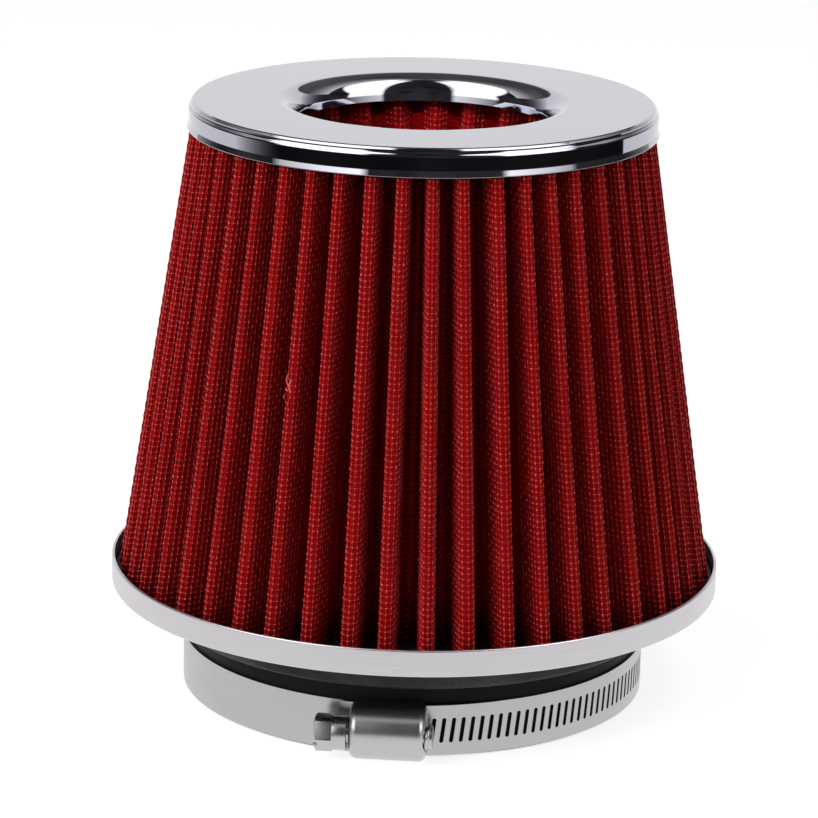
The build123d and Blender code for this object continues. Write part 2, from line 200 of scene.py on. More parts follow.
class FilterColours(bpy.types.PropertyGroup):
    """Colours of the finishes."""

    chrome: colour("Chrome", (0.455, 0.454, 0.512), "Polished cap")
    satin: colour("Satin chrome", (0.64, 0.62, 0.645), "Base ring")
    gauze: colour("Gauze", (0.225, 0.0013, 0.0016), "Oiled cotton between the wires")
    gauze_dry: colour("Dry gauze", (0.285, 0.0018, 0.0024), "Gauze where less oil shows")
    wire: colour("Wire", (0.295, 0.002, 0.003), "Red coating of the wires")
    # Painted highlight on the crossings where a wire passes over
    knuckle: colour("Knuckle", (0.76, 0.14, 0.125), "Coating on the high crossings")
    rubber: colour("Rubber", (0.004, 0.004, 0.0041), "Black moulding")
    # Pale bloom tone, made brighter as painted sheen on the boss; below the boss the neck keeps the dark
    # rubber as painted shade
    rubber_bloom: colour("Bloom", (0.105, 0.100, 0.102), "Paler bloom on the rubber")
    band: colour("Band steel", (0.49, 0.49, 0.485), "Clamp band")
    screw: colour("Screw steel", (0.52, 0.52, 0.52), "Housing and screw")


class FilterStudio(bpy.types.PropertyGroup):
    """Camera, lamps and floor."""

    camera_side: length("Camera side", -0.0021, "Sideways, before the turn")
    camera_back: length("Camera back", 0.92596, "Distance in front of the axis, before the turn")
    camera_height: length("Camera height", 0.33385, "Above the floor")
    camera_turn: angle("Camera turn", 5.2, "Round the axis towards +X")
    camera_pitch: angle("Camera pitch", 15.873, "Below the horizon")
    camera_roll: angle("Camera roll", 1.2, "About the line of sight")
    focal_pixels: number("Focal length", 3848.0, "In pixels of the photograph's frame")
    aim_height: length("Aim height", 0.09, "Where the lamps point")
    key_power: number("Key", 10.8, "Watts of the softbox on the left")
    fill_power: number("Fill", 2.65, "Watts of the softbox on the right")
    inlet_power: number("Inlet", 0.0018, "Watts of the narrow lamp that looks into the inlet")
    top_power: number("Top", 6.2, "Watts of each panel above")
    ambient: number("Ambient", 0.22, "Strength of the white surroundings on dull surfaces")
    floor_radius: length("Floor", 6.0, "Radius of the floor")
    floor_glow: number("Floor glow", 0.75, "Share of white that the floor gives the camera by itself")
    drape_radius: length("Drape", 2.2, "Radius of the dark drape before the metal")
    drape_clear: length("Drape gap", 0.30, "Radius of bare floor inside the drape")
    front_glow: number("Softbox front", 2.6, "Brightness of the softboxes in the metal")


def link(obj):
    bpy.context.scene.collection.objects.link(obj)
    return obj


def new_piece(name, points, faces, material=None):
    """A mesh object at the origin with smooth faces."""
    mesh = bpy.data.meshes.new(name)
    mesh.from_pydata(points, [], faces)
    if not mesh.polygons:
        raise RuntimeError(f"{name} came out empty")
    mesh.shade_smooth()
    if material is not None:
        mesh.materials.append(material)
    return link(bpy.data.objects.new(name, mesh))


def settle(obj):
    """Turns what the modifiers make into a plain mesh and takes them off."""
    graph = bpy.context.evaluated_depsgraph_get()
    mesh = bpy.data.meshes.new_from_object(
        obj.evaluated_get(graph), preserve_all_data_layers=True, depsgraph=graph
    )
    if not mesh.polygons:
        raise RuntimeError(f"{obj.name} came out empty")
    old = obj.data
    obj.modifiers.clear()
    obj.data = mesh
    bpy.data.meshes.remove(old)
    return obj


def dress(obj, body, slot, *nodes):
    """Seats a finished piece on its body and hides the CAD nodes it stands for."""
    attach(obj, body)
    if nodes:
        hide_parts(*nodes)
    return obj


# Shader building


def add_node(tree, kind, **settings):
    node = tree.nodes.new(kind)
    for key, value in settings.items():
        setattr(node, key, value)
    return node


def feed(tree, socket, value):
    """Links an input to a socket, or sets it to a value."""
    if isinstance(value, bpy.types.NodeSocket):
        tree.links.new(value, socket)
    else:
        socket.default_value = value


def put(tree, node, **values):
    """Feeds a node's inputs by name."""
    for name, value in values.items():
        feed(tree, node.inputs[name.replace("_", " ")], value)
    return node


def made(tree, kind, *values, **settings):
    """Adds a node, feeds its first inputs in order and returns its first output."""
    node = add_node(tree, kind, **settings)
    for socket, value in zip(node.inputs, values):
        feed(tree, socket, value)
    return node.outputs[0]


def maths(tree, operation, *values):
    return made(tree, "ShaderNodeMath", *values, operation=operation)


def span(tree, value, low, high, to_low=0.0, to_high=1.0):
    """Value from low..high moved to to_low..to_high, clamped."""
    return made(tree, "ShaderNodeMapRange", value, low, high, to_low, to_high, clamp=True)


def split(tree, vector):
    node = add_node(tree, "ShaderNodeSeparateXYZ")
    feed(tree, node.inputs[0], vector)
    return node.outputs


def noise(tree, vector, scale, detail=2.0, four=None):
    node = add_node(tree, "ShaderNodeTexNoise", noise_dimensions="3D" if four is None else "4D")
    put(tree, node, Vector=vector, Scale=scale, Detail=detail)
    if four is not None:
        put(tree, node, W=four)
    return node.outputs[0]


def mix_colours(tree, factor, first, second):
    node = add_node(tree, "ShaderNodeMix", data_type="RGBA")
    tones = [s for s in node.inputs if s.type == "RGBA"]
    for socket, value in zip((node.inputs[0], *tones), (factor, first, second)):
        feed(tree, socket, value)
    return next(s for s in node.outputs if s.type == "RGBA")


def object_place(tree):
    return add_node(tree, "ShaderNodeTexCoord").outputs["Object"]


def across_and_up(tree):
    """Both parts of the piece's own UV map."""
    return split(tree, made(tree, "ShaderNodeUVMap", uv_map="UVMap"))[:2]


def round_axis(tree, place, across, upward):
    """A noise place that runs with the angle round the axis and the height, and the radius."""
    x, y, z = split(tree, place)
    squares = maths(tree, "ADD", maths(tree, "MULTIPLY", x, x), maths(tree, "MULTIPLY", y, y))
    radius = maths(tree, "SQRT", squares)
    flat = [maths(tree, "MULTIPLY", maths(tree, "DIVIDE", part, radius), across) for part in (x, y)]
    return made(tree, "ShaderNodeCombineXYZ", *flat, maths(tree, "MULTIPLY", z, upward)), radius


def node_group(name, kind, inputs, outputs):
    """A node group with (label, type, default) inputs; returns tree, inputs and the output node."""
    tree = bpy.data.node_groups.new(name, kind)
    for label, socket_type, default in inputs:
        socket = tree.interface.new_socket(label, in_out="INPUT", socket_type=socket_type)
        if default is not None:
            socket.default_value = default
    for label, socket_type in outputs:
        tree.interface.new_socket(label, in_out="OUTPUT", socket_type=socket_type)
    return tree, add_node(tree, "NodeGroupInput").outputs, add_node(tree, "NodeGroupOutput")


def effect(name, outputs, **inputs):
    """A shader node group of plain numbers, ready to be filled."""
    given = [(label.replace("_", " "), "NodeSocketFloat", value) for label, value in inputs.items()]
    return node_group(name, "ShaderNodeTree", given, [(label, "NodeSocketFloat") for label in outputs])


def fine_scuffs():
    """Faint haze and pinpoint marks of handled metal."""
    outputs = ["Roughness", "Height"]
    tree, given, out = effect("FineScuffs", outputs, Low=0.03, High=0.1, Scale=60.0)
    pin_fineness = 22.0
    pin_depth = 0.3
    place = object_place(tree)
    haze = noise(tree, place, given["Scale"], detail=4.0)
    grain = noise(tree, place, maths(tree, "MULTIPLY", given["Scale"], pin_fineness))
    pins = span(tree, grain, 0.66, 0.74)
    mask = maths(tree, "MAXIMUM", span(tree, haze, 0.35, 0.7), pins)
    put(
        tree,
        out,
        Roughness=span(tree, mask, 0.0, 1.0, given["Low"], given["High"]),
        Height=maths(tree, "SUBTRACT", haze, maths(tree, "MULTIPLY", pins, pin_depth)),
    )
    return tree


def turned_streaks():
    """Fine lines that run round the axis, as rolling or turning leaves them."""
    outputs = ["Roughness", "Height"]
    tree, given, out = effect("TurnedStreaks", outputs, Low=0.2, High=0.35, Fineness=900.0)
    breaks_round = 3.0
    along, radius = round_axis(tree, object_place(tree), breaks_round, given["Fineness"])
    across = maths(tree, "MULTIPLY", radius, given["Fineness"])
    lines = noise(tree, along, scale=2.5, detail=3.0, four=across)
    put(tree, out, Roughness=span(tree, lines, 0.3, 0.7, given["Low"], given["High"]), Height=lines)
    return tree


def oil_mottle():
    """Uneven oil: a soft mask of richer and drier patches."""
    tree, given, out = effect("OilMottle", ["Dry"], Scale=90.0)
    fineness = 9.0
    share = 0.6
    place = object_place(tree)
    broad = noise(tree, place, given["Scale"], detail=3.0)
    fine = noise(tree, place, maths(tree, "MULTIPLY", given["Scale"], fineness))
    parts = maths(tree, "MULTIPLY", broad, share), maths(tree, "MULTIPLY", fine, 1 - share)
    put(tree, out, Dry=span(tree, maths(tree, "ADD", *parts), 0.38, 0.62))
    return tree


def woven_gauze():
    """Plain weave of cotton threads on the sheet's own UV map, in metres."""
    tree, given, out = effect("WovenGauze", ["Height"], Thread_pitch=0.0007)
    turn = maths(tree, "DIVIDE", math.pi, given["Thread pitch"])
    threads = [
        maths(tree, "ABSOLUTE", maths(tree, "SINE", maths(tree, "MULTIPLY", run, turn)))
        for run in across_and_up(tree)
    ]
    put(tree, out, Height=maths(tree, "MAXIMUM", *threads))
    return tree


def rubber_bloom():
    """Pale bloom patches above a given height, raised as painted sheen on the boss, with painted shade
    on the neck below that height, and the moulded grain of black rubber.
    """
    outputs = ["Bloom", "Roughness", "Height"]
    tree, given, out = effect("RubberBloom", outputs, Scale=35.0, Foot=0.0172)
    grain_fineness = 60.0
    fade = 0.002
    place = object_place(tree)
    height = split(tree, place)[2]
    cloud = noise(tree, place, given["Scale"], detail=4.0)
    grain = noise(tree, place, maths(tree, "MULTIPLY", given["Scale"], grain_fineness))
    # Painted shade: no bloom below the top of the neck, so the neck stays dark
    out_of_neck_shade = span(tree, height, given["Foot"], maths(tree, "ADD", given["Foot"], fade))
    spotted = span(tree, grain, 0.3, 0.7, 0.5, 1.0)
    patches = maths(tree, "MULTIPLY", span(tree, cloud, 0.2, 0.75), spotted)
    put(
        tree,
        out,
        Bloom=maths(tree, "MULTIPLY", patches, out_of_neck_shade),
        Roughness=span(tree, cloud, 0.3, 0.7, 0.34, 0.52),
        Height=grain,
    )
    return tree


EFFECTS = {}


def use_effect(tree, builder, **values):
    """Places a shared effect in a material, building it the first time."""
    name = builder.__name__
    if name not in EFFECTS:
        EFFECTS[name] = builder()
    node = add_node(tree, "ShaderNodeGroup", node_tree=EFFECTS[name])
    return put(tree, node, **values).outputs


def rgba(value):
    return (*value, 1.0)


def new_material(name, tone, metallic, specular=0.5):
    """A material with its Principled shader; returns material, tree and shader."""
    material = bpy.data.materials.new(name)
    material.use_nodes = True
    tree = material.node_tree
    shader = tree.nodes["Principled BSDF"]
    put(tree, shader, Base_Color=rgba(tone), Metallic=metallic, Specular_IOR_Level=specular)
    return material, tree, shader


def bump(tree, shader, height, strength, depth):
    node = put(tree, add_node(tree, "ShaderNodeBump"), Strength=strength, Distance=depth, Height=height)
    put(tree, shader, Normal=node.outputs[0])


def metal_material(name, tone, metal):
    material, tree, shader = new_material(name, tone, metallic=1.0)
    given = use_effect(tree, metal.effect, **metal.values)
    put(tree, shader, Roughness=given["Roughness"])
    bump(tree, shader, given["Height"], metal.strength, metal.depth)
    return material


def gauze_material(name, colours):
    material, tree, shader = new_material(name, colours.gauze, metallic=0.0, specular=0.04)
    dry = use_effect(tree, oil_mottle, Scale=120.0)["Dry"]
    tone = mix_colours(tree, dry, rgba(colours.gauze), rgba(colours.gauze_dry))
    put(tree, shader, Base_Color=tone, Roughness=0.8)
    weave = use_effect(tree, woven_gauze, Thread_pitch=0.0007)["Height"]
    bump(tree, shader, weave, strength=0.6, depth=0.0002)
    return material


def wire_material(name, colours):
    """Red coating, with a painted highlight where a wire stands highest, patchy with the oil mottle."""
    material, tree, shader = new_material(name, colours.wire, metallic=0.0, specular=0.20)
    knuckle = add_node(tree, "ShaderNodeAttribute", attribute_name="knuckle").outputs["Fac"]
    dry = use_effect(tree, oil_mottle, Scale=160.0)["Dry"]
    # Painted highlight: the paler tone on the crossings where a wire passes over, weaker where the oil
    # mottle is rich
    crossing = span(tree, knuckle, 0.76, 0.99)
    painted_highlight = maths(tree, "MULTIPLY", crossing, span(tree, dry, 0.0, 1.0, 0.35, 1.0))
    tone = mix_colours(tree, painted_highlight, rgba(colours.wire), rgba(colours.knuckle))
    put(tree, shader, Base_Color=tone, Roughness=span(tree, dry, 0.0, 1.0, 0.32, 0.5))
    return material


def rubber_material(name, colours):
    material, tree, shader = new_material(name, colours.rubber, metallic=0.0, specular=0.10)
    # The bloom shows only above the neck: painted sheen on the boss and painted shade on the neck
    given = use_effect(tree, rubber_bloom, Scale=35.0, Foot=0.0172)
    tone = mix_colours(tree, given["Bloom"], rgba(colours.rubber), rgba(colours.rubber_bloom))
    put(tree, shader, Base_Color=tone, Roughness=given["Roughness"])
    bump(tree, shader, given["Height"], strength=0.15, depth=0.0001)
    return material


# Each metal's colour, its effect, the strength and depth of its bump, and the effect's values
Metal = namedtuple("Metal", "tone effect strength depth values")
METALS = {
    "polished_chrome": Metal(
        "chrome", fine_scuffs, 0.02, 0.0002, {"Low": 0.025, "High": 0.07, "Scale": 45.0}
    ),
    "satin_chrome": Metal(
        "satin", turned_streaks, 0.06, 0.0001, {"Low": 0.26, "High": 0.36, "Fineness": 1400.0}
    ),
    "rolled_steel": Metal(
        "band", turned_streaks, 0.10, 0.0001, {"Low": 0.26, "High": 0.40, "Fineness": 1100.0}
    ),
    "plated_steel": Metal(
        "screw", fine_scuffs, 0.03, 0.0001, {"Low": 0.27, "High": 0.33, "Scale": 150.0}
    ),
}
SOFT_FINISHES = {
    "red_gauze": gauze_material,
    "red_wire": wire_material,
    "black_rubber": rubber_material,
}
MATERIALS = {}


def material_for(name):
    """The finish of that name, made the first time it is asked for."""
    if name not in MATERIALS:
        colours = bpy.context.scene.filter_colours
        if name in METALS:
            metal = METALS[name]
            MATERIALS[name] = metal_material(name, getattr(colours, metal.tone), metal)
        else:
            MATERIALS[name] = SOFT_FINISHES[name](name, colours)
    return MATERIALS[name]


# Turned pieces

# Rounding of small edges as a share of the sheet or step beside them
EDGE_SHARE = 0.3
# Rounding of the ring's lower edge against its upper one
RING_FOOT = 1.4


def rounded_profile(corners, fineness):
    """Points and outward normals of a closed (radius, height, rounding) profile, run anticlockwise."""
    points = []
    normals = []
    for i, (x, z, rounding) in enumerate(corners):
        here = np.array((x, z))
        before = here - np.array(corners[i - 1][:2])
        after = np.array(corners[(i + 1) % len(corners)][:2]) - here
        before = before / np.hypot(*before)
        after = after / np.hypot(*after)
        turn = math.atan2(before[0] * after[1] - before[1] * after[0], before @ after)
        side = math.copysign(1.0, turn)
        first = math.atan2(-before[0], before[1])
        start = here - before * rounding * math.tan(abs(turn) / 2)
        centre = start - side * rounding * np.array((math.cos(first), math.sin(first)))
        steps = max(2, math.ceil(abs(turn) / (math.pi / 2) * fineness))
        for a in np.linspace(first, first + turn, steps + 1):
            normal = np.array((math.cos(a), math.sin(a)))
            points.append(centre + side * rounding * normal)
            normals.append(normal)
    return np.array(points), np.array(normals)


def turn_piece(name, corners, material, fineness=6, segments=160):
    """A solid of revolution with the profile's own normals."""
    profile, slopes = rounded_profile(corners, fineness)
    count = len(profile)
    round_angles = np.arange(segments) * 2 * math.pi / segments
    cos, sin = np.cos(round_angles), np.sin(round_angles)

    def spun(pairs):
        return np.stack(
            [
                np.outer(pairs[:, 0], cos),
                np.outer(pairs[:, 0], sin),
                np.outer(pairs[:, 1], np.ones(segments)),
            ],
            axis=-1,
        ).reshape(-1, 3)

    i, j = np.meshgrid(np.arange(count), np.arange(segments), indexing="ij")
    i_next, j_next = (i + 1) % count, (j + 1) % segments
    faces = np.stack(
        [i * segments + j, i * segments + j_next, i_next * segments + j_next, i_next * segments + j],
        axis=-1,
    ).reshape(-1, 4)
    obj = new_piece(name, spun(profile).tolist(), faces.tolist(), material)
    obj.data.normals_split_custom_set_from_vertices(spun(slopes).tolist())
    return obj


def cap_corners(s):
    wall = s.radius - s.hem_flare
    low = s.top - s.rim_height
    under = s.top - s.sheet
    sleeve = s.inlet_radius + s.sheet
    inside = wall - s.skirt
    tiny = EDGE_SHARE * s.skirt
    return [
        (s.radius, low, tiny),
        (wall, low + s.hem_height, s.hem_height),
        (wall, s.top - 2 * s.bevel - s.bevel_step, s.bevel_round),
        (wall - s.bevel, s.top - s.bevel - s.bevel_step, s.bevel_round),
        (wall - s.bevel, s.top - s.bevel, EDGE_SHARE * s.bevel_step),
        (wall - 2 * s.bevel, s.top, s.bevel_round),
        (s.inlet_radius + s.inlet_lean, s.top, s.inlet_roll),
        (s.inlet_radius, s.top - s.inlet_depth, EDGE_SHARE * s.sheet),
        (sleeve, s.top - s.inlet_depth, EDGE_SHARE * s.sheet),
        (sleeve + s.inlet_lean, under, s.inlet_roll - s.sheet),
        (wall - 2 * s.bevel - s.skirt, under, tiny),
        (inside, s.top - 2 * s.bevel - s.bevel_step - s.skirt, tiny),
        (inside, low + s.hem_height, tiny),
        (s.radius - s.skirt, low, tiny),
    ]


def ring_corners(s):
    low, high = RING_LOW.z, RING_HIGH.z + s.ring_rise
    inside = s.ring_radius - s.ring_wall
    edge = s.ring_round
    tiny = EDGE_SHARE * s.ring_wall
    return [
        (inside - s.ring_lip, low, tiny),
        (s.ring_radius, low, RING_FOOT * edge),
        (s.ring_radius, high, edge),
        (inside, high, tiny),
        (inside, low + s.ring_wall, tiny),
        (inside - s.ring_lip, low + s.ring_wall, tiny),
    ]


def base_corners(s):
    seat = RING_LOW.z + s.ring_wall
    flange = BASE_HIGH.x
    top = BASE_HIGH.z - s.seat_depth
    tiny = EDGE_SHARE * s.bore_chamfer
    return [
        (s.bore_radius + s.bore_chamfer, BASE_LOW.z, tiny),
        (s.neck_radius, BASE_LOW.z, s.bore_chamfer),
        (s.neck_radius, s.neck_length, tiny),
        (s.boss_radius, s.neck_length, s.boss_round),
        (s.boss_radius, seat, tiny),
        (flange, seat, tiny),
        (flange, top, tiny),
        (s.hole_radius, top, tiny),
        (s.hole_radius, BASE_HIGH.z - s.hole_height, tiny),
        (s.bore_radius, s.bore_length, tiny),
        (s.bore_radius, s.bore_chamfer + BASE_LOW.z, tiny),
    ]


class FILTER_OT_cap(bpy.types.Operator):
    """Make the polished cap with its bevel, hem and rolled inlet"""

    bl_idname = "filter.cap"
    bl_label = "Cap"

    def execute(self, context):
        corners = cap_corners(context.scene.filter_cap)
        cap = turn_piece("chrome_cap", corners, material_for("polished_chrome"), fineness=9)
        dress(cap, "filter", "cap_chrome", "top_cap")
        return {"FINISHED"}


class FILTER_OT_base(bpy.types.Operator):
    """Make the satin base ring and the black moulding, and finish the hidden black pieces"""

    bl_idname = "filter.base"
    bl_label = "Base"

    def execute(self, context):
        sizes = context.scene.filter_base
        ring = turn_piece("chrome_base_ring", ring_corners(sizes), material_for("satin_chrome"))
        dress(ring, "filter", "ring_chrome", "base_ring")
        base = turn_piece("rubber_base", base_corners(sizes), material_for("black_rubber"))
        dress(base, "filter", "black_rubber", "base_moulding")
        for node in ("top_potting", "inner_end_cup"):
            mesh = frame["nodes"][node].data
            mesh.materials.clear()
            mesh.materials.append(material_for("black_rubber"))
        return {"FINISHED"}


# Pleats

# Points over the tip, the flank and the root of half a pleat, as made and to measure along it
SHEET_STEPS = (5, 2, 2)
MEASURE_STEPS = (24, 24, 12)
SHEET_ROWS = 6
WIRE_SIDES = 3

Pack = namedtuple("Pack", "gauze node wires sizes outward low high sunk reach")


def packs(scene):
    """Both pleat packs: their pieces, which way the folds face and where they stand."""
    mesh = scene.filter_mesh
    outer = Pack(
        gauze="outer_gauze",
        node="outer_pleats",
        wires=[f"outer_wire_{i + 1}" for i in range(mesh.sectors)],
        sizes=scene.filter_outer,
        outward=1,
        low=OUTER_LOW.z,
        high=OUTER_HIGH.z,
        sunk=scene.filter_base.seat_depth,
        reach=mesh.outer_reach,
    )
    inner = Pack(
        gauze="inner_gauze",
        node="inner_pleats",
        wires=["inner_wire"],
        sizes=scene.filter_inner,
        outward=-1,
        low=INNER_LOW.z,
        high=INNER_HIGH.z,
        sunk=0.0,
        reach=mesh.inner_reach,
    )
    return outer, inner


def fold_half(pack, drop, steps):
    """Half a pleat as complex points, from the middle of its tip to the middle of its root.

    drop sets the line back from the side in view; the same steps give matching points at any drop.
    """
    s, outward = pack.sizes, pack.outward
    half = math.pi / s.count
    tip_centre = s.radius - outward * s.fold
    root_centre = (s.radius - outward * (s.depth - s.root - s.media)) * np.exp(1j * half)
    gap = root_centre - tip_centre
    swing = math.acos((s.fold + s.root) / abs(gap))
    turn = np.angle(gap) - outward * swing
    tip_from = 0.0 if outward > 0 else math.pi
    root_to = half + (math.pi if outward > 0 else 2 * math.pi)
    over_tip, along_flank, round_root = steps
    tip_angles = np.linspace(tip_from, turn, over_tip + 1)
    root_angles = np.linspace(turn + math.pi, root_to, round_root + 1)
    tip = tip_centre + (s.fold - drop) * np.exp(1j * tip_angles)
    root = root_centre + (s.root + drop) * np.exp(1j * root_angles)
    share = np.linspace(0, 1, along_flank + 1)[1:-1]
    return np.concatenate([tip, tip[-1] * (1 - share) + root[0] * share, root])


def cone_rows(pack, count):
    """Scale and height of evenly spaced rows up the cone, from below its low end where it is sunk."""
    rise = pack.high - pack.low
    share = np.linspace(-pack.sunk / rise, 1, count)
    scale = 1 + (pack.sizes.narrow - 1) * (share if pack.outward > 0 else 1 - share)
    return scale, pack.low + rise * share


def folded_sheet(pack, gauze_drop):
    """The closed folded sheet of one pack, with a UV map in metres."""
    scale, height = cone_rows(pack, SHEET_ROWS)
    turns = np.exp(2j * math.pi * np.arange(pack.sizes.count) / pack.sizes.count)
    lines = []
    for drop in (gauze_drop, pack.sizes.media):
        half = fold_half(pack, drop, SHEET_STEPS)
        pleat = np.concatenate([half.conj()[::-1], half[1:-1]])
        lines.append((turns[:, None] * pleat[None, :]).ravel())
    ring = len(lines[0])
    points = np.zeros((2, SHEET_ROWS, ring, 3))
    for side, line in enumerate(lines):
        placed = scale[:, None] * line[None, :]
        points[side, :, :, 0] = placed.real
        points[side, :, :, 1] = placed.imag
        points[side, :, :, 2] = height[:, None]
    index = np.arange(2 * SHEET_ROWS * ring).reshape(2, SHEET_ROWS, ring)
    after = np.roll(index, -1, axis=2)
    front = np.stack([index[0, :-1], after[0, :-1], after[0, 1:], index[0, 1:]], axis=-1)
    back = np.stack([index[1, :-1], index[1, 1:], after[1, 1:], after[1, :-1]], axis=-1)
    bottom = np.stack([index[0, 0], index[1, 0], after[1, 0], after[0, 0]], axis=-1)
    top = np.stack([index[0, -1], after[0, -1], after[1, -1], index[1, -1]], axis=-1)
    faces = np.concatenate([f.reshape(-1, 4) for f in (front, back, bottom, top)])
    if pack.outward < 0:
        faces = faces[:, ::-1]
    points = points.reshape(-1, 3)
    sheet = new_piece(pack.gauze, points.tolist(), faces.tolist())
    along = np.concatenate([[0], np.cumsum(np.abs(np.diff(np.append(lines[0], lines[0][0]))))])
    corner = np.zeros(len(sheet.data.loops), np.int32)
    sheet.data.loops.foreach_get("vertex_index", corner)
    column = corner % ring
    # The last column of faces closes the ring, so its far corners take the full length
    closing = np.repeat((column.reshape(-1, 4).max(axis=1) == ring - 1), 4) & (column == 0)
    u = np.where(closing, along[-1], along[column])
    layer = sheet.data.uv_layers.new(name="UVMap")
    layer.data.foreach_set("uv", np.stack([u, points[corner, 2]], axis=-1).astype(np.float32).ravel())
    return sheet


def wire_lines(pack, mesh, rows, pleats):
    """Points, edges and knuckle highlight values of the woven wires over some of a pack's pleats; a
    value marks where a wire passes over and gets the painted highlight.
    """
    reach = pack.reach
    lines = [fold_half(pack, drop, MEASURE_STEPS) for drop in (mesh.over, mesh.under, mesh.sunk)]
    walked = np.concatenate([[0], np.cumsum(np.abs(np.diff(lines[0])))])
    beyond = (walked[-1] - reach * mesh.column_pitch) / 2
    stops = np.append(np.arange(reach + 1) * mesh.column_pitch, [walked[-1] - beyond, walked[-1]])
    over, under, sunk = (
        np.interp(stops, walked, line.real) + 1j * np.interp(stops, walked, line.imag) for line in lines
    )
    over[-2:] = sunk[-2:]
    under[-2:] = sunk[-2:]
    # Columns run from the root, past the tip, to the far flank; the next pleat brings the next root
    over = np.concatenate([over.conj()[::-1], over[1:-1]])
    under = np.concatenate([under.conj()[::-1], under[1:-1]])
    width = len(over)
    uprights = np.arange(2, 2 + 2 * reach + 1)
    scale, height = rows
    count = len(scale)
    column, row, pleat = np.meshgrid(np.arange(width), np.arange(count), pleats, indexing="ij")
    high = (column + row + pleat * width) % 2 == 0
    turns = np.exp(2j * math.pi * pleat / pack.sizes.count) * scale[row]

    def by_pleat(grid):
        return np.moveaxis(grid, (0, 1, 2), (2, 1, 0))

    def spots(lifted):
        place = np.where(lifted, over[column], under[column]) * turns
        return by_pleat(np.stack([place.real, place.imag, height[row]], axis=-1))

    upright_points = spots(high)[:, :, uprights]
    round_points = spots(~high).swapaxes(0, 1)
    lifted_upright = by_pleat(high)[:, :, uprights]
    lifted_round = by_pleat(~high).swapaxes(0, 1)
    first = np.arange(upright_points[..., 0].size).reshape(upright_points.shape[:3])
    second = np.arange(round_points[..., 0].size).reshape(count, -1) + first.size
    # Each run round ends at the next pleat's first root point, which the next sector starts from
    ending = under[0] * np.exp(2j * math.pi * (pleats[-1] + 1) / pack.sizes.count) * scale
    last = np.arange(count) + first.size + second.size
    edges = [
        np.stack([first[:, :-1], first[:, 1:]], axis=-1).reshape(-1, 2),
        np.stack([second[:, :-1], second[:, 1:]], axis=-1).reshape(-1, 2),
        np.stack([second[:, -1], last], axis=-1),
    ]
    points = [
        upright_points.reshape(-1, 3),
        round_points.reshape(-1, 3),
        np.stack([ending.real, ending.imag, height], axis=-1),
    ]
    # 1 where a wire passes over, which the wire material paints with a highlight
    knuckle = [lifted_upright.ravel(), lifted_round.ravel(), np.zeros(count)]
    return np.concatenate(points), np.concatenate(edges), np.concatenate(knuckle).astype(np.float32)


def snagged(lines, mesh):
    """Pulls some wires out of the weave at the one spot where the photograph shows them caught."""
    every = 3
    pressed_back = -0.2
    pulled_out = 0.5
    pulled_aside = 0.85
    highlighted_from = 0.3
    points, edges, knuckle = lines
    outward = np.array((math.cos(mesh.snag_turn), math.sin(mesh.snag_turn), 0.0))
    aside = np.array((outward[1], -outward[0], 0.0))
    spot = mesh.snag_radius * outward + np.array((0.0, 0.0, mesh.snag_height))
    reach = np.array((mesh.snag_width, mesh.snag_width, mesh.snag_rise))
    near = np.clip(1 - np.linalg.norm((points - spot) / reach, axis=1), 0, 1) ** 0.5
    loose = np.arange(len(points)) % every == 0
    pull = mesh.snag_pull * near * np.where(loose, 1.0, pressed_back)
    points = points + pull[:, None] * (pulled_out * outward + pulled_aside * aside)
    # The pulled wires near the spot get the painted highlight as well
    return points, edges, np.maximum(knuckle, loose & (near > highlighted_from)).astype(np.float32)


def floats(*labels):
    return [(label, "NodeSocketFloat", 0.0) for label in labels]


STRAYS = ("Drift", "Swell", "Seed")
GEOMETRY = ("Geometry", "NodeSocketGeometry")


def geometry_tree(name, inputs):
    """A Geometry Nodes tree with a geometry in and out, named inputs and a material."""
    given = [(*GEOMETRY, None), *inputs, ("Material", "NodeSocketMaterial", None)]
    group = node_group(name, "GeometryNodeTree", given, [GEOMETRY])
    group[0].is_modifier = True
    return group


def run_through(tree, given, out, start, *nodes):
    """Links a geometry through nodes, then smooths, realises and paints it, as every tree here ends."""
    smoothed = add_node(tree, "GeometryNodeSetShadeSmooth")
    realised = add_node(tree, "GeometryNodeRealizeInstances")
    painted = put(tree, add_node(tree, "GeometryNodeSetMaterial"), Material=given["Material"])
    for node in (*nodes, smoothed, realised, painted):
        feed(tree, node.inputs[0], start)
        start = node.outputs[0]
    feed(tree, out.inputs[0], start)
    return tree


def stray_node(tree, given):
    """Moves points round and away from the axis by a seeded noise of their angle and height."""
    across = 5.0
    upward = 2.0
    middle = 0.5
    place = made(tree, "GeometryNodeInputPosition")
    where, _ = round_axis(tree, place, across, upward)
    texture = add_node(tree, "ShaderNodeTexNoise", noise_dimensions="4D")
    put(tree, texture, Vector=where, W=given["Seed"], Scale=1.0, Detail=1.0)
    aside, out, _ = split(tree, texture.outputs["Color"])
    turned = add_node(tree, "ShaderNodeVectorRotate", rotation_type="Z_AXIS")
    by = maths(tree, "MULTIPLY", maths(tree, "SUBTRACT", aside, middle), given["Drift"])
    put(tree, turned, Vector=place, Angle=by)
    grown = maths(tree, "MULTIPLY_ADD", maths(tree, "SUBTRACT", out, middle), given["Swell"], 1.0)
    factor = made(tree, "ShaderNodeCombineXYZ", grown, grown, 1.0)
    scaled = made(tree, "ShaderNodeVectorMath", turned.outputs[0], factor, operation="MULTIPLY")
    return put(tree, add_node(tree, "GeometryNodeSetPosition"), Position=scaled)


def tube_node(tree, radius, sides):
    """Makes closed tubes of curves."""
    section = add_node(tree, "GeometryNodeCurvePrimitiveCircle")
    put(tree, section, Radius=radius, Resolution=sides)
    tube = add_node(tree, "GeometryNodeCurveToMesh")
    return put(tree, tube, Profile_Curve=section.outputs[0], Fill_Caps=True)


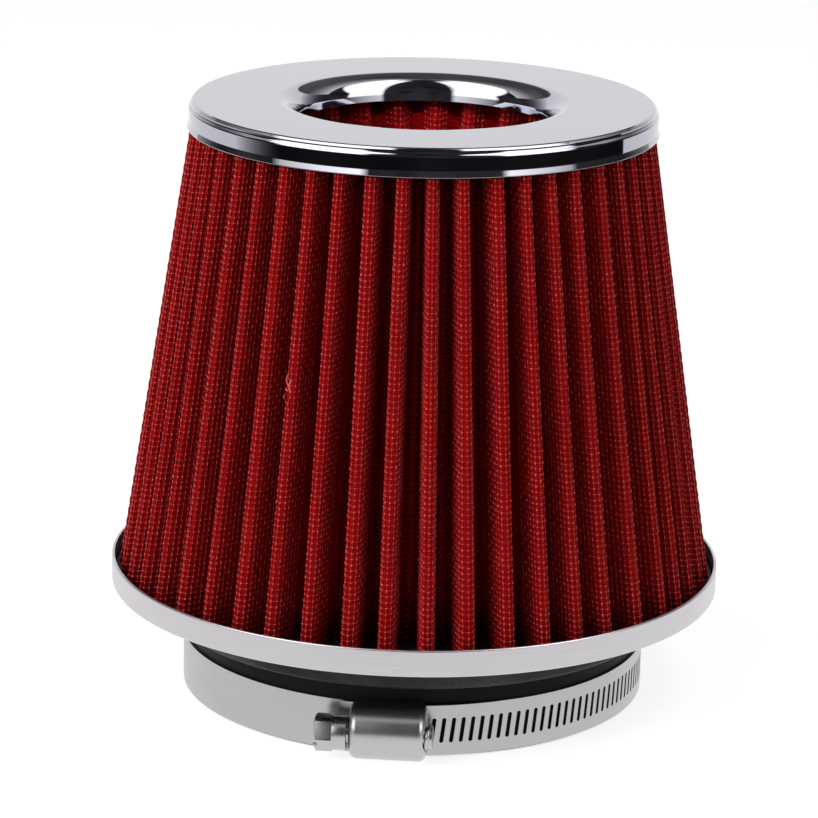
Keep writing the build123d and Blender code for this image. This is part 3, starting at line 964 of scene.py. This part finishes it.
def sheet_tree():
    tree, given, out = geometry_tree("FoldedSheet", floats(*STRAYS))
    return run_through(tree, given, out, given["Geometry"], stray_node(tree, given))


def wire_tree():
    inputs = [*floats(*STRAYS, "Wire radius"), ("Sides", "NodeSocketInt", None)]
    tree, given, out = geometry_tree("WovenWire", inputs)
    tube = tube_node(tree, given["Wire radius"], given["Sides"])
    curves = add_node(tree, "GeometryNodeMeshToCurve")
    return run_through(tree, given, out, given["Geometry"], stray_node(tree, given), curves, tube)


def run_tree(obj, tree, **values):
    """Runs a tree on an object with its inputs set, and keeps the result as a plain mesh."""
    modifier = obj.modifiers.new(tree.name, "NODES")
    modifier.node_group = tree
    for item in tree.interface.items_tree:
        key = item.name.replace(" ", "_")
        if item.item_type == "SOCKET" and item.in_out == "INPUT" and key in values:
            modifier[item.identifier] = values[key]
    return settle(obj)


def strays(mesh):
    return {label: getattr(mesh, label.lower()) for label in STRAYS}


def woven_piece(name, tree, mesh, lines):
    points, edges, knuckle = lines
    base = bpy.data.meshes.new(name)
    base.from_pydata(points.tolist(), edges.tolist(), [])
    base.attributes.new("knuckle", "FLOAT", "POINT").data.foreach_set("value", knuckle)
    obj = link(bpy.data.objects.new(name, base))
    wire = {"Wire_radius": mesh.wire_radius, "Sides": WIRE_SIDES, "Material": material_for("red_wire")}
    return run_tree(obj, tree, **wire, **strays(mesh))


class FILTER_OT_media(bpy.types.Operator):
    """Fold the gauze of both pleat packs"""

    bl_idname = "filter.media"
    bl_label = "Gauze"

    def execute(self, context):
        mesh = context.scene.filter_mesh
        tree = sheet_tree()
        for pack in packs(context.scene):
            sheet = folded_sheet(pack, mesh.gauze)
            run_tree(sheet, tree, Material=material_for("red_gauze"), **strays(mesh))
            dress(sheet, "filter", "red_media", pack.node)
        return {"FINISHED"}


class FILTER_OT_wires(bpy.types.Operator):
    """Weave the wire mesh over both pleat packs"""

    bl_idname = "filter.wires"
    bl_label = "Wire mesh"

    def execute(self, context):
        mesh = context.scene.filter_mesh
        tree = wire_tree()
        for pack in packs(context.scene):
            s = pack.sizes
            slant = math.hypot(pack.high - pack.low, s.radius * (1 - s.narrow))
            rows = cone_rows(pack, round(slant / mesh.row_pitch))
            sectors = np.array_split(np.arange(s.count), len(pack.wires))
            for name, pleats in zip(pack.wires, sectors):
                lines = snagged(wire_lines(pack, mesh, rows, pleats), mesh)
                dress(woven_piece(name, tree, mesh, lines), "filter", "red_media")
        return {"FINISHED"}


# Clamp

WELD = 1e-6
FLAT_ANGLE = math.radians(0.5)
EDGE_ANGLE = math.radians(35)
SHARP_ANGLE = math.radians(38)
RADIAL_SHARE = 0.99
THREAD_POINTS = 36
THREAD_SIDES = 6


def cad_copy(node, name, material, edge, segments):
    """A clean copy of a CAD node with its edges slightly rounded."""
    work = bmesh.new()
    work.from_mesh(frame["nodes"][node].data)
    bmesh.ops.remove_doubles(work, verts=work.verts, dist=WELD)
    bmesh.ops.dissolve_limit(
        work, angle_limit=FLAT_ANGLE, verts=work.verts, edges=work.edges, use_dissolve_boundaries=False
    )
    work.verts.index_update()
    points = [v.co[:] for v in work.verts]
    faces = [[v.index for v in f.verts] for f in work.faces]
    work.free()
    obj = new_piece(name, points, faces, material)
    rounding = obj.modifiers.new("Edges", "BEVEL")
    rounding.width = edge
    rounding.segments = segments
    rounding.limit_method = "ANGLE"
    rounding.angle_limit = EDGE_ANGLE
    rounding.use_clamp_overlap = True
    return settle(obj)


def round_normals(obj):
    """Gives the faces that lie round the axis the normals of a true cylinder."""
    mesh = obj.data
    normals = [None] * len(mesh.loops)
    for face in mesh.polygons:
        out = Vector((face.center.x, face.center.y, 0)).normalized()
        side = face.normal.dot(out)
        for loop in face.loop_indices:
            spot = mesh.vertices[mesh.loops[loop].vertex_index].co
            radial = Vector((spot.x, spot.y, 0)).normalized()
            normals[loop] = math.copysign(1, side) * radial if abs(side) > RADIAL_SHARE else face.normal
    mesh.normals_split_custom_set(normals)


def worm_tree():
    inputs = [*floats("Core radius", "Thread", "Turns", "Length"), ("Start", "NodeSocketVector", None)]
    tree, given, out = geometry_tree("WormThread", inputs)
    coil = put(
        tree,
        add_node(tree, "GeometryNodeCurveSpiral"),
        Resolution=THREAD_POINTS,
        Rotations=given["Turns"],
        Start_Radius=given["Core radius"],
        End_Radius=given["Core radius"],
        Height=given["Length"],
    )
    tube = tube_node(tree, given["Thread"], THREAD_SIDES)
    laid = add_node(tree, "GeometryNodeTransform")
    put(tree, laid, Rotation=(0.0, math.pi / 2, 0.0), Translation=given["Start"])
    return run_through(tree, given, out, coil.outputs[0], tube, laid)


class FILTER_OT_clamp(bpy.types.Operator):
    """Make the clamp's band, housing and screw with its worm thread"""

    bl_idname = "filter.clamp"
    bl_label = "Clamp"

    def execute(self, context):
        s = context.scene.filter_clamp
        rolled = material_for("rolled_steel")
        band = cad_copy("clamp_band", "clamp_strip", rolled, s.band_edge, segments=1)
        round_normals(band)
        dress(band, "filter", "band_steel", "clamp_band")
        plated = material_for("plated_steel")
        for node, name, edge, body in (
            ("clamp_housing", "clamp_saddle", s.housing_edge, "filter"),
            ("clamp_screw", "clamp_worm_screw", s.screw_edge, "screw"),
        ):
            piece = cad_copy(node, name, plated, edge, segments=3)
            piece.data.set_sharp_from_angle(angle=SHARP_ANGLE)
            dress(piece, body, "screw_steel", node)
        name = "clamp_worm_thread"
        thread = link(bpy.data.objects.new(name, bpy.data.meshes.new(name)))
        run = SCREW_HIGH.x - s.start
        run_tree(
            thread,
            worm_tree(),
            Core_radius=s.core_radius,
            Thread=s.thread,
            Turns=run / s.pitch,
            Length=run - s.thread,
            Start=(s.start, SCREW_JOINT.y, SCREW_JOINT.z),
            Material=plated,
        )
        dress(thread, "screw", "screw_steel")
        return {"FINISHED"}


# Stage

WHITE = (1.0, 1.0, 1.0, 1.0)
SHADE_GREY = (0.5, 0.5, 0.5, 1.0)
FLOOR_GREY = (0.8, 0.8, 0.8, 1.0)
FLOOR_CORNERS = 64

# Tones of the cloths, each a pair between which slow patches run
DARK = ((0.005, 0.005, 0.006), (0.017, 0.016, 0.018))
DIM = ((0.016, 0.016, 0.017), (0.055, 0.051, 0.052))
GREY = ((0.06, 0.055, 0.055), (0.16, 0.15, 0.145))

# Cloths: angles in degrees, and the shares of the width over which the left and right ends pale
Cloth = namedtuple("Cloth", "name finish tones elevations bearings rows columns fades")
CLOTHS = (
    Cloth("front_drape", "dark_cloth", DIM, (27, 90), (-101, 105), 18, 48, (0.001, 0.001)),
    Cloth("drape_skirt", "skirt_cloth", DIM, (-3, 27), (-150, 150), 6, 64, (0.15, 0.15)),
    Cloth("back_ceiling", "grey_ceiling", GREY, (27, 90), (105, 259), 16, 40, (0.35, 0.35)),
)
FLOOR_CLOTH = Cloth("floor_cloth", "floor_cloth", DARK, None, (-100, 110), 12, 64, (0.15, 0.001))
FLOOR_CLOTH_LIFT = 0.0015

# Softbox fronts in the metal: inner edge and its lean, outer edge and how far it widens, in degrees
Front = namedtuple("Front", "name inner lean outer widening")
FRONTS = (
    Front("softbox_front_left", -24, -0.08, -76, -36),
    Front("softbox_front_right", 37, 0.04, 78, 28),
)
FRONT_ELEVATIONS = (7, 84)
FRONT_WIDENS_FROM = 26
FRONT_WIDENS_OVER = 24
FRONT_ROWS = 22
FRONT_COLUMNS = 24
FRONT_DISTANCE = 1.6
FRONT_SOFTNESS = 0.10

# Softboxes: bearing and elevation in degrees, distance, width and height
KEY = (-53, 26, 1.25, 0.90, 0.75)
FILL = (60, 26, 1.25, 0.70, 0.75)
# Panels above: to the right, behind, height, width and depth
TOP_LEFT = (-0.73, -0.25, 1.4, 1.05, 0.8)
TOP_RIGHT = (0.73, -0.25, 1.4, 0.82, 0.7)
# Lamp into the inlet: the spot that it lights, its bearing, elevation and distance, its size and cone
INLET_SPOT = Vector((0, 0.033, CAP_HIGH.z - 0.016))
INLET_PLACE = (2, 27, 0.8)
INLET_SIZE = 0.02
INLET_CONE = math.radians(3.5)


def stage_material(name):
    """An empty material; returns material, tree and output node."""
    material = bpy.data.materials.new(name)
    material.use_nodes = True
    tree = material.node_tree
    tree.nodes.clear()
    return material, tree, add_node(tree, "ShaderNodeOutputMaterial")


def emission(tree, tone, strength):
    return made(tree, "ShaderNodeEmission", tone, strength)


def floor_material(studio):
    """Pale floor: white to the camera and in reflections, with the shadow kept."""
    material, tree, out = stage_material("pale_floor")
    rays = add_node(tree, "ShaderNodeLightPath").outputs
    shadowed = made(tree, "ShaderNodeBsdfDiffuse", SHADE_GREY)
    seen = made(tree, "ShaderNodeAddShader", emission(tree, WHITE, studio.floor_glow), shadowed)
    plain = made(tree, "ShaderNodeBsdfDiffuse", FLOOR_GREY)
    white = emission(tree, WHITE, 1.0)
    mirrored = made(tree, "ShaderNodeMixShader", rays["Is Glossy Ray"], plain, white)
    put(tree, out, Surface=made(tree, "ShaderNodeMixShader", rays["Is Camera Ray"], mirrored, seen))
    return material


def white_world(studio):
    """Surroundings that are white to the camera and in reflections, and softer on dull surfaces."""
    world = bpy.data.worlds.new("white_studio")
    bpy.context.scene.world = world
    world.use_nodes = True
    tree = world.node_tree
    soft = put(tree, tree.nodes["Background"], Color=WHITE, Strength=studio.ambient).outputs[0]
    bright = made(tree, "ShaderNodeBackground", WHITE, 1.0)
    rays = add_node(tree, "ShaderNodeLightPath").outputs
    mirrored = maths(tree, "MAXIMUM", rays["Is Glossy Ray"], rays["Is Transmission Ray"])
    shown = maths(tree, "MAXIMUM", rays["Is Camera Ray"], mirrored)
    put(tree, tree.nodes["World Output"], Surface=made(tree, "ShaderNodeMixShader", shown, soft, bright))


def around(studio, azimuth, elevation, distance):
    """A place seen from the lamps' aim, with azimuth counted from the camera's side to the right."""
    turn = studio.camera_turn + math.radians(azimuth)
    rise = math.radians(elevation)
    aim = Vector((0, 0, studio.aim_height))
    flat = distance * math.cos(rise)
    return aim + Vector((flat * math.sin(turn), -flat * math.cos(turn), distance * math.sin(rise)))


def area_lamp(name, width, height, power, place, facing, cone=math.pi):
    lamp = bpy.data.lights.new(name, "AREA")
    lamp.shape = "RECTANGLE"
    lamp.size = width
    lamp.size_y = height
    lamp.energy = power
    lamp.spread = cone
    obj = link(bpy.data.objects.new(name, lamp))
    obj.location = place
    obj.rotation_euler = facing.to_track_quat("-Z", "Y").to_euler()
    obj.visible_camera = False
    obj.visible_glossy = False


def softbox(studio, name, azimuth, elevation, distance, width, height, power):
    """A standing softbox that faces the filter."""
    place = around(studio, azimuth, elevation, distance)
    area_lamp(name, width, height, power, place, Vector((0, 0, studio.aim_height)) - place)


def panel(studio, name, right, back, height, width, depth, power):
    """A level panel above, placed to the right of and behind the filter as the camera sees it."""
    place = Matrix.Rotation(studio.camera_turn, 4, "Z") @ Vector((right, back, height))
    area_lamp(name, width, depth, power, place, Vector((0, 0, -1)))


def inlet_lamp(studio):
    """A narrow lamp near the camera that looks into the inlet."""
    place = INLET_SPOT + around(studio, *INLET_PLACE) - Vector((0, 0, studio.aim_height))
    beam = INLET_SPOT - place
    area_lamp("inlet_lamp", INLET_SIZE, INLET_SIZE, studio.inlet_power, place, beam, INLET_CONE)


def stage_sheet(name, points, faces, material):
    obj = new_piece(name, points, faces, material)
    return obj


def spread(low, high, count):
    return [low + (high - low) * i / (count - 1) for i in range(count)]


def sky_rows(studio, distance, bearings, columns):
    """Points seen from the filter between two bearings at each elevation."""
    return [
        [around(studio, bearing, elevation, distance) for bearing in spread(start, end, columns)]
        for elevation, start, end in bearings
    ]


def reflected_sheet(name, rows, material):
    """A sheet through rows of points that only reflections show, with a plain UV map."""
    columns = len(rows[0])
    points = [point for row in rows for point in row]
    faces = []
    for i in range(len(rows) - 1):
        for j in range(columns - 1):
            a = i * columns + j
            faces.append((a, a + 1, a + 1 + columns, a + columns))
    obj = stage_sheet(name, points, faces, material)
    layer = obj.data.uv_layers.new(name="UVMap")
    for loop in obj.data.loops:
        i, j = divmod(loop.vertex_index, columns)
        layer.data[loop.index].uv = (j / (columns - 1), i / (len(rows) - 1))
    obj.visible_camera = False
    obj.visible_diffuse = False
    obj.visible_transmission = False
    obj.visible_shadow = False


def cloth_material(cloth):
    """Dark cloth with slow, slightly warm and cool patches, which pales towards its two ends."""
    left_fade, right_fade = cloth.fades
    curve = 2.5
    material, tree, out = stage_material(cloth.finish)
    cloud = noise(tree, object_place(tree), scale=1.3, detail=3.0)
    tone = mix_colours(tree, span(tree, cloud, 0.35, 0.65), *map(rgba, cloth.tones))
    across, _ = across_and_up(tree)
    ends = span(tree, across, 0.0, left_fade), span(tree, across, 1.0, 1.0 - right_fade)
    # A curved fade looks even, because the eye reads equal ratios as equal steps
    outside = maths(tree, "SUBTRACT", 1.0, maths(tree, "MINIMUM", *ends))
    paled = maths(tree, "POWER", outside, curve)
    put(tree, out, Surface=emission(tree, mix_colours(tree, paled, tone, WHITE), 1.0))
    return material


def card_material(strength, soft):
    """White softbox front that fades towards its edges."""
    material, tree, out = stage_material("softbox_front")
    level = strength
    for value in across_and_up(tree):
        inward = maths(tree, "MINIMUM", value, maths(tree, "SUBTRACT", 1.0, value))
        level = maths(tree, "MULTIPLY", span(tree, inward, 0.0, soft), level)
    put(tree, out, Surface=emission(tree, WHITE, level))
    return material


def dark_drape(studio):
    """Dark cloth in front, above and on the floor, which only the metal's reflections show."""
    far, near = studio.drape_radius, studio.drape_clear
    for cloth in CLOTHS:
        bearings = [(elevation, *cloth.bearings) for elevation in spread(*cloth.elevations, cloth.rows)]
        rows = sky_rows(studio, far, bearings, cloth.columns)
        reflected_sheet(cloth.name, rows, cloth_material(cloth))
    cloth = FLOOR_CLOTH
    turns = [studio.camera_turn + math.radians(b) for b in spread(*cloth.bearings, cloth.columns)]
    ground = []
    for share in spread(0, 1, cloth.rows):
        radius = near * (far / near) ** share
        ground.append([(radius * math.sin(t), -radius * math.cos(t), FLOOR_CLOTH_LIFT) for t in turns])
    reflected_sheet(cloth.name, ground, cloth_material(cloth))


def softbox_fronts(studio):
    """What the metal shows of the two softboxes: wide above and narrower below."""
    white = card_material(studio.front_glow, FRONT_SOFTNESS)
    for front in FRONTS:
        bearings = []
        for e in spread(*FRONT_ELEVATIONS, FRONT_ROWS):
            widened = min(1, max(0, (e - FRONT_WIDENS_FROM) / FRONT_WIDENS_OVER))
            bearings.append((e, front.inner + front.lean * e, front.outer + front.widening * widened))
        reflected_sheet(front.name, sky_rows(studio, FRONT_DISTANCE, bearings, FRONT_COLUMNS), white)


class FILTER_OT_stage(bpy.types.Operator):
    """Set the camera, the pale floor, the softboxes and the dark drape"""

    bl_idname = "filter.stage"
    bl_label = "Stage"

    def execute(self, context):
        s = context.scene.filter_studio
        context.scene.view_settings.view_transform = "Standard"
        camera = bpy.data.cameras.new("camera")
        camera.sensor_width = SENSOR_WIDTH
        camera.lens = s.focal_pixels / PHOTO_PIXELS * SENSOR_WIDTH
        viewer = link(bpy.data.objects.new("camera", camera))
        viewer.matrix_world = (
            Matrix.Rotation(s.camera_turn, 4, "Z")
            @ Matrix.Translation((s.camera_side, -s.camera_back, s.camera_height))
            @ Matrix.Rotation(math.pi / 2 - s.camera_pitch, 4, "X")
            @ Matrix.Rotation(s.camera_roll, 4, "Z")
        )
        context.scene.camera = viewer
        turns = np.linspace(0, 2 * math.pi, FLOOR_CORNERS, endpoint=False)
        points = [(s.floor_radius * math.cos(a), s.floor_radius * math.sin(a), 0.0) for a in turns]
        stage_sheet("floor", points, [tuple(range(FLOOR_CORNERS))], floor_material(s))
        white_world(s)
        dark_drape(s)
        softbox_fronts(s)
        softbox(s, "key_softbox", *KEY, s.key_power)
        softbox(s, "fill_softbox", *FILL, s.fill_power)
        inlet_lamp(s)
        panel(s, "top_panel_left", *TOP_LEFT, s.top_power)
        panel(s, "top_panel_right", *TOP_RIGHT, s.top_power)
        return {"FINISHED"}


STEPS = ("cap", "base", "media", "wires", "clamp", "stage")
GROUPS = {
    "filter_cap": FilterCapSizes,
    "filter_base": FilterBaseSizes,
    "filter_outer": FilterOuterPleats,
    "filter_inner": FilterInnerPleats,
    "filter_mesh": FilterWireMesh,
    "filter_clamp": FilterClamp,
    "filter_colours": FilterColours,
    "filter_studio": FilterStudio,
}


class FILTER_PT_panel(bpy.types.Panel):
    """Lists the steps that dress the filter"""

    bl_idname = "FILTER_PT_panel"
    bl_label = "Cone Air Filter"
    bl_space_type = "VIEW_3D"
    bl_region_type = "UI"
    bl_category = "Filter"

    def draw(self, context):
        for step in STEPS:
            self.layout.operator(f"filter.{step}")


CLASSES = (
    *GROUPS.values(),
    FILTER_OT_cap,
    FILTER_OT_base,
    FILTER_OT_media,
    FILTER_OT_wires,
    FILTER_OT_clamp,
    FILTER_OT_stage,
    FILTER_PT_panel,
)


def register():
    for item in CLASSES:
        bpy.utils.register_class(item)
    for name, group in GROUPS.items():
        setattr(bpy.types.Scene, name, bpy.props.PointerProperty(type=group))


def unregister():
    for name in GROUPS:
        delattr(bpy.types.Scene, name)
    for item in reversed(CLASSES):
        bpy.utils.unregister_class(item)


def main():
    register()
    for step in STEPS:
        getattr(bpy.ops.filter, step)()


if __name__ == "__main__":
    main()
